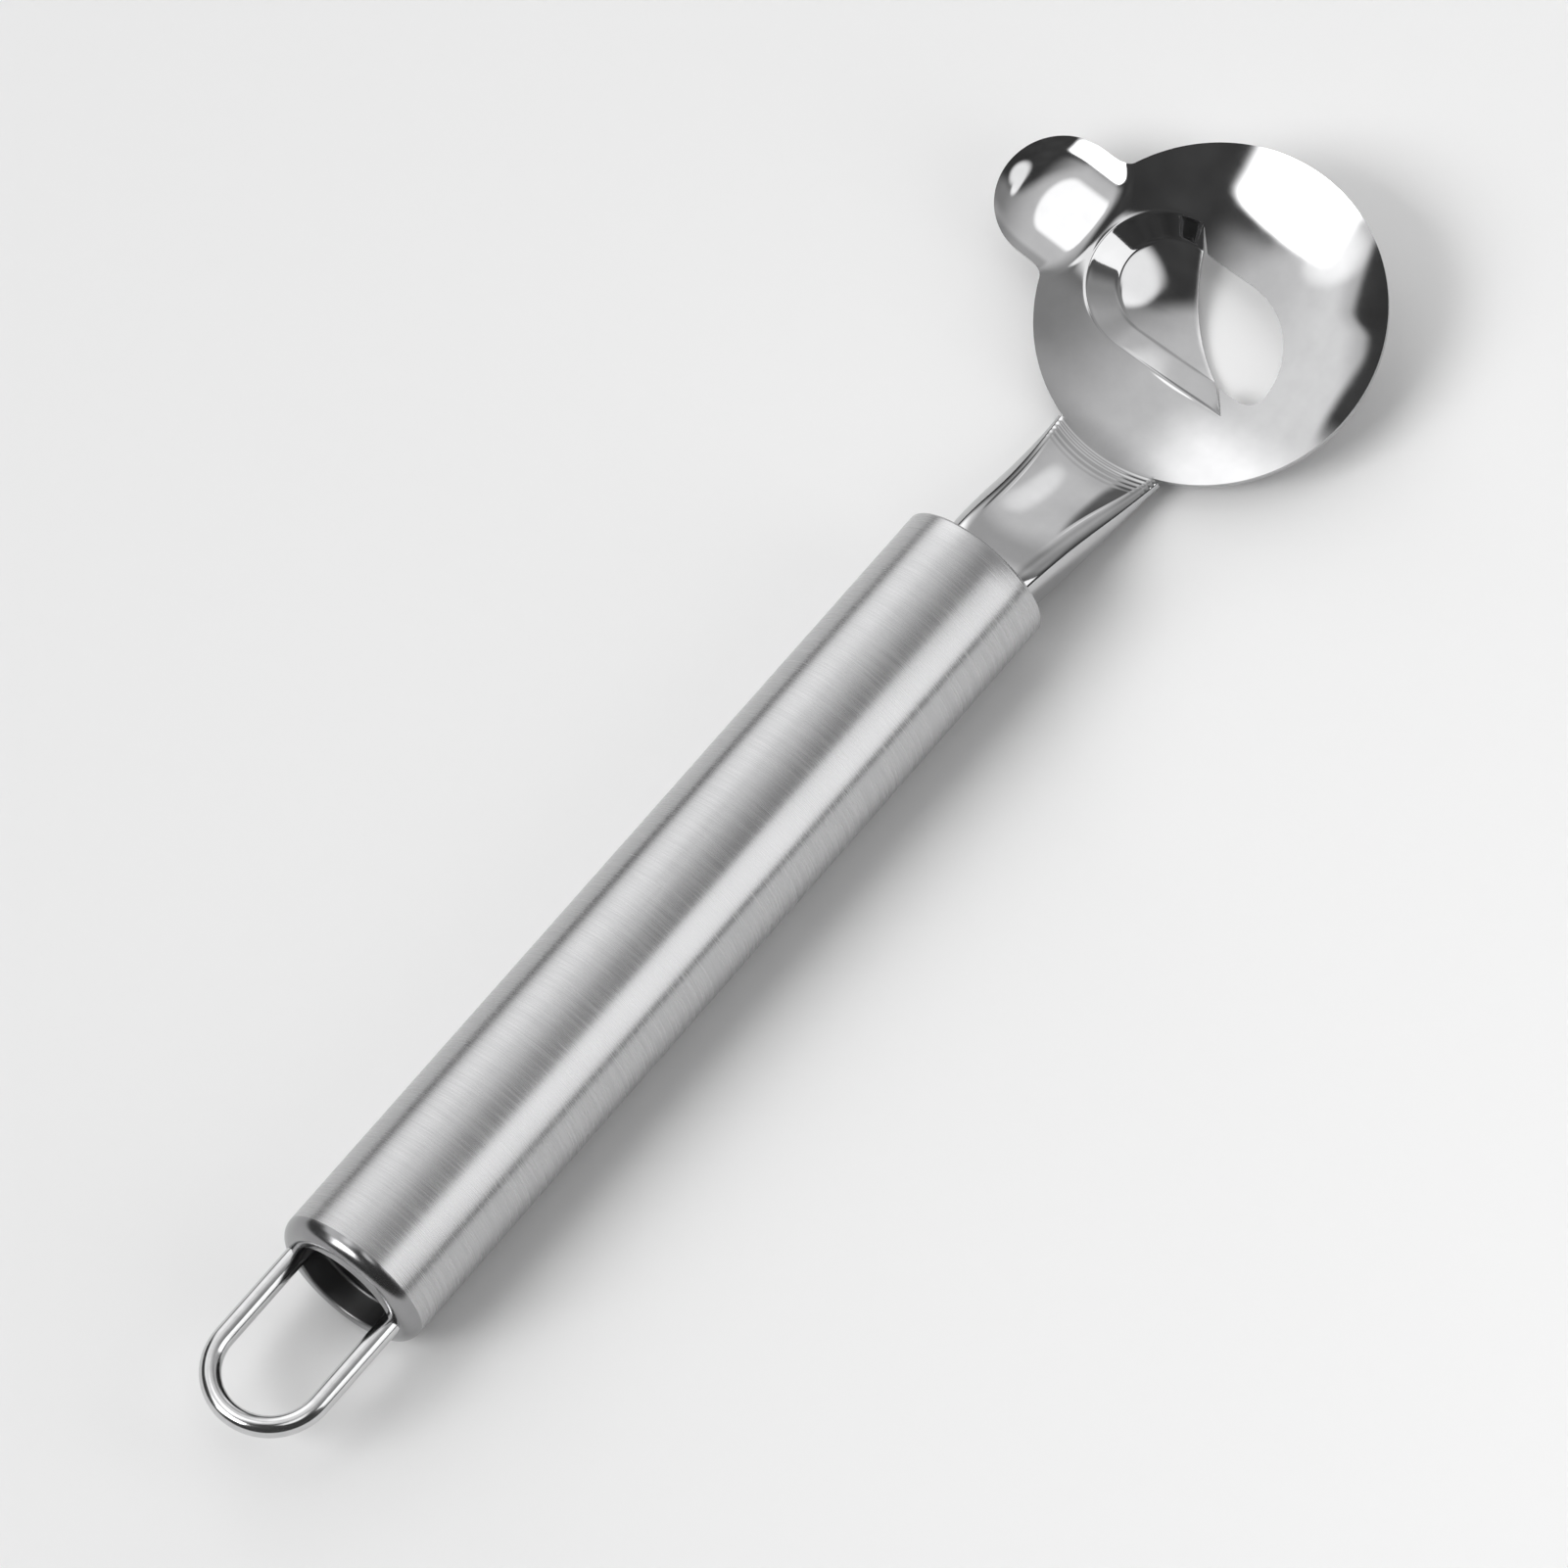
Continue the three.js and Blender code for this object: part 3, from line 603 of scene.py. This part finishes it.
bend_radius = -soft_max(-NECK_BEND, BEND_LIMIT * (flange_z - plate[:, :1]), BEND_FADE)


def channel(thickness):
    """Neck's surface: the plate across, a quarter turn down at each side, and the flange below it.
    A thickness moves it to the inside of the same channel."""
    radius = np.maximum(bend_radius - thickness, INNER_BEND * bend_radius)
    turn = bend_share * np.pi / 2
    y = (half_width - bend_radius) * plate_share + np.sign(plate_share) * radius * np.sin(turn)
    bent = plate - bend_radius + radius * np.cos(turn)
    z = np.where(bend_share > 0, bent, plate - thickness)
    z = np.where(drop_share > 0, mix(plate - bend_radius, flange_z, drop_share), z)
    return np.stack([neck_x, y, z], -1)


def press(plan, depth):
    """Upper and under face of the pressed sheet. The under face lies lower, square to the rim's
    plane, by the thickness over the cosine of the slope there."""
    surface = np.concatenate([plan, -depth[:, :, None]], -1)
    normal = np.cross(np.gradient(surface, axis=0), np.gradient(surface, axis=1))
    cosine = np.abs(normal[:, :, 2]) / np.maximum(np.linalg.norm(normal, axis=-1), 1e-12)
    lower = depth + SHEET / np.where(cosine > STEEPEST_COSINE, cosine, 1)
    return place_head(plan[:, :, 0], plan[:, :, 1], depth), place_head(plan[:, :, 0], plan[:, :, 1], lower)


# Sheet: the surfaces share the scoop's bend line and the rim at the neck, and get their thickness
bowl_faces = press(plan, bowl_depth)
scoop_faces = press(scoop_plan, scoop_depth)
neck_faces = channel(0), channel(SHEET)
bowl_index = np.arange(plan.shape[0] * plan.shape[1]).reshape(plan.shape[:2])
scoop_index = bowl_index.size + np.arange(scoop_depth.size).reshape(scoop_depth.shape)
neck_index = bowl_index.size + scoop_index.size + np.arange(neck_x.size).reshape(neck_x.shape)
scoop_index[0] = bowl_index[-1, :scoop_count]
first_neck = np.searchsorted(scoop_angles, neck_angles[0])
rim_at_neck = bowl_index[0, first_neck:][:len(neck_share)]
neck_index[-1, FLANGE_COLUMNS + BEND_COLUMNS - 1:][:len(neck_share)] = rim_at_neck
quads = np.concatenate([
    index.reshape(-1)[grid_faces(*index.shape, False, closed)[0]]
    for index, closed in ((bowl_index, True), (scoop_index, False), (neck_index, False))])
used, quads = np.unique(quads, return_inverse=True)
quads = quads.reshape(-1, 4)
upper, under = (
    np.concatenate([faces[side].reshape(-1, 3) for faces in (bowl_faces, scoop_faces, neck_faces)])[used]
    for side in (0, 1))
count = len(used)
tail, tip = quads.reshape(-1), np.roll(quads, -1, axis=1).reshape(-1)
open_edge = ~np.isin(tail * count + tip, tip * count + tail)
tail, tip = tail[open_edge], tip[open_edge]
walls = np.stack([tip, tail, tail + count, tip + count], -1)
blade_head = new_piece("blade_head_sheet", np.concatenate([upper, under]),
                       np.concatenate([quads, quads[:, ::-1] + count, walls]))
round_edges(blade_head, EDGE_BREAK, 2)

# Cutting edge, ground after polishing: 1 on the edge, falling to 0 over the ground width
edge_line = (scoop_faces[0][-1] + [MOUTH_FROM_MIDDLE, 0, AXIS_HEIGHT]) * MM
corners = np.empty((len(blade_head.data.vertices), 3), np.float32)
blade_head.data.vertices.foreach_get("co", corners.reshape(-1))
from_edge = np.min(np.linalg.norm(corners[:, None] - edge_line[None], axis=-1), axis=1)
ground = np.clip(1 - from_edge / (GROUND_WIDTH * MM), 0, 1)
ground_points = blade_head.data.attributes.new("ground", "FLOAT", "POINT")
ground_points.data.foreach_set("value", ground.astype(np.float32))

mirror, mirror_shader, spot = metal("mirror_polished_steel", {"Metallic": 1.0})
haze = noise(spot, 420, 3)
waves = noise(spot, 95, 1)
rubs = noise(spot, 1, 2, RUB_GRAIN)
ground_edge = spot.node("ShaderNodeAttribute", {"attribute_name": "ground"}, {}, output="Fac")
polish = tint(spot, haze, POLISH_DARK, POLISH_LIGHT)
feed(mirror_shader, {
    "Base Color": tint(spot, ground_edge, polish, GROUND_LIGHT),
    "Roughness": 0.03 + 0.04 * haze + 0.02 * rubs + 0.22 * ground_edge,
    "Normal": spot.node("ShaderNodeBump", {}, {"Height": waves, "Strength": 0.12, "Distance": 0.2 * MM}),
})
blade_head.data.materials.append(mirror)
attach(blade_head, "root")
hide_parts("blade_head")


# Floor
# A plain pale sweep that the peeler lies on, wide enough to fill every view.
FLOOR_HALF = 3.0
PALE = (0.9, 0.9, 0.9, 1)
floor_mesh = bpy.data.meshes.new("floor")
corners = np.array([[-1, -1, 0], [1, -1, 0], [1, 1, 0], [-1, 1, 0]]) * FLOOR_HALF
floor_mesh.from_pydata(corners, [], [[0, 1, 2, 3]])
floor = bpy.data.objects.new("floor", floor_mesh)
bpy.context.scene.collection.objects.link(floor)
paper = bpy.data.materials.new("pale_paper")
paper.use_nodes = True
paper_shader = paper.node_tree.nodes["Principled BSDF"]
paper_shader.inputs["Base Color"].default_value = PALE
paper_shader.inputs["Roughness"].default_value = 1
paper_shader.inputs["Specular IOR Level"].default_value = 0
floor.data.materials.append(paper)


# Light
# A studio made for polish: a wide panel over the head with a dark room behind the camera, a bright
# key on the loop's side, two round roof lights, and a low box along the handle's near side.
# Directions are level parts from -1 to 1: ahead to the head, and sideways to the lobe's side.
KEY_LEVEL = 8
PANEL_LEVEL = 0.85
ROOF_LEVEL = 1.4
NEAR_BOX_WAY = (0.306, -0.792, 0.528)
NEAR_BOX_DISTANCE = 0.42
NEAR_BOX_SIZE = (0.20, 0.34)
NEAR_BOX_LEVEL = 1.6
world = bpy.data.worlds.new("studio")
world.use_nodes = True
sky = world.node_tree.nodes["Background"]
way = Value(world.node_tree.nodes.new("ShaderNodeTexCoord").outputs["Generated"])
ahead, sideways, upward = (way.node("ShaderNodeSeparateXYZ", {}, {0: way}, output=k) for k in range(3))


def fade(value, start, end):
    """0 before the start, 1 past the end, with a smooth step between them."""
    return value.node("ShaderNodeMapRange", {"interpolation_type": "SMOOTHSTEP"},
                      {"Value": value, "From Min": start, "From Max": end})


def window(value, start, end, soft):
    """1 between the start and the end, with soft edges outside them."""
    return fade(value, start - soft, start) * (1 - fade(value, end, end + soft))


def opening_at(x, y, bright, dark, flat=1):
    """Round opening about a direction's level parts x and y: 1 within the bright squared distance of
    it, and 0 past the dark one. A flat opening is narrower sideways."""
    along, across = ahead - x, flat * (sideways - y)
    return 1 - fade(along * along + across * across, bright, dark)


# Panel's outline: it starts over the head, and stops before the bowl's far rim
panel_edge = 1 - (1 - fade(ahead + 1.4 * sideways, -0.12, 0.14)) * (1 - fade(ahead, 0.04, 0.24))
rim_side = 0.75 * ahead - 2 * sideways + 0.1 * fade(ahead, -0.31, -0.21)
panel_edge = panel_edge * fade(rim_side, -1.725, -1.665)
panel_edge = panel_edge * (1 - fade(sideways, 0.83, 0.86) * (1 - fade(ahead, 0.1, 0.28)))

# Panel's brightness: whiter to the lobe's side, darker to the near side and in a band ahead
lobe_side = fade(sideways, 0.35, 0.75)
bright_end = fade(sideways, 0.3, 0.6) * window(ahead, 0.45, 0.56, 0.22)
panel = PANEL_LEVEL + 0.3 * lobe_side + 0.7 * bright_end
panel = panel * (0.34 + 0.66 * fade(sideways, -0.3, 0.3)) * (0.3 + 0.7 * fade(sideways, -0.65, -0.35))
panel = panel * (1 - 0.4 * window(ahead, 0.65, 0.74, 0.12))
panel = panel + 0.3 * fade(ahead, 0.4, 0.6) * (1 - fade(sideways, -0.35, 0))

# Panel's patches: low ones for the scoop's floor, one over the lobe, and the key's soft end
panel = panel + 0.45 * opening_at(0.93, 0.22, 0.001, 0.008)
panel = panel * (1 - 0.85 * opening_at(0.82, 0.51, 0.002, 0.008))
panel = panel + opening_at(0, 0.32, 0.04, 0.075, 2)
panel = panel * (0.6 + 0.4 * fade(rim_side, -1.70, -1.54))
panel = panel + 0.7 * opening_at(-0.48, 0.56, 0.001, 0.016)

# Roof lights, the grey beside the key, the key and the dim room
roof_light = 1 - (1 - opening_at(0.05, -0.17, 0.008, 0.03, 2)) * (1 - opening_at(-0.05, -0.28, 0.01, 0.04))
beside_key = 0.55 * window(sideways, 0.28, 0.36, 0.3) * window(ahead, -0.40, -0.15, 0.12) * (1 - panel_edge)
overhead = panel_edge * panel + ROOF_LEVEL * roof_light + beside_key
key = KEY_LEVEL * fade(ahead, -0.84, -0.74) * (1 - fade(ahead - 0.2 * sideways, -0.59, -0.54))
key = key * window(sideways, 0.125, 0.44, 0.14)
room = 0.02 + 0.09 * noise(way, 3.5, 2)
feed(sky, {"Color": room + overhead * fade(upward, 0.05, 0.35) + key * fade(upward, 0, 0.2)})
bpy.context.scene.world = world


def soft_box(name, direction, distance, size, level):
    """Area light that faces the peeler from a direction, with the radiance that its surface shows."""
    light = bpy.data.lights.new(name, "AREA")
    light.shape = "RECTANGLE"
    light.size, light.size_y = size
    light.energy = level * np.pi * size[0] * size[1]
    lamp = bpy.data.objects.new(name, light)
    toward = np.array(direction) / np.linalg.norm(direction)
    lamp.location = toward * distance
    lamp.rotation_euler = (-lamp.location).to_track_quat("-Z", "Y").to_euler()
    bpy.context.scene.collection.objects.link(lamp)


soft_box("near_box", NEAR_BOX_WAY, NEAR_BOX_DISTANCE, NEAR_BOX_SIZE, NEAR_BOX_LEVEL)


# Camera
# A long lens above the loop end, on its lobe-less side.
CAMERA_AT = (-0.6493, -0.6389, 1.8687)
CAMERA_RIGHT = (0.6259, -0.7788, -0.0418)
CAMERA_UP = (0.7097, 0.5465, 0.4445)
CAMERA_BACK = (-0.3233, -0.3077, 0.8949)
LENS_LENGTH = 406.4
SENSOR_WIDTH = 36
FARTHEST = 20
lens = bpy.data.cameras.new("camera")
lens.lens = LENS_LENGTH
lens.sensor_width = SENSOR_WIDTH
lens.clip_end = FARTHEST
camera = bpy.data.objects.new("camera", lens)
camera.matrix_world = Matrix([
    (CAMERA_RIGHT[k], CAMERA_UP[k], CAMERA_BACK[k], CAMERA_AT[k]) for k in range(3)] + [(0, 0, 0, 1)])
bpy.context.scene.collection.objects.link(camera)
bpy.context.scene.camera = camera
bpy.context.scene.view_settings.view_transform = "Standard"
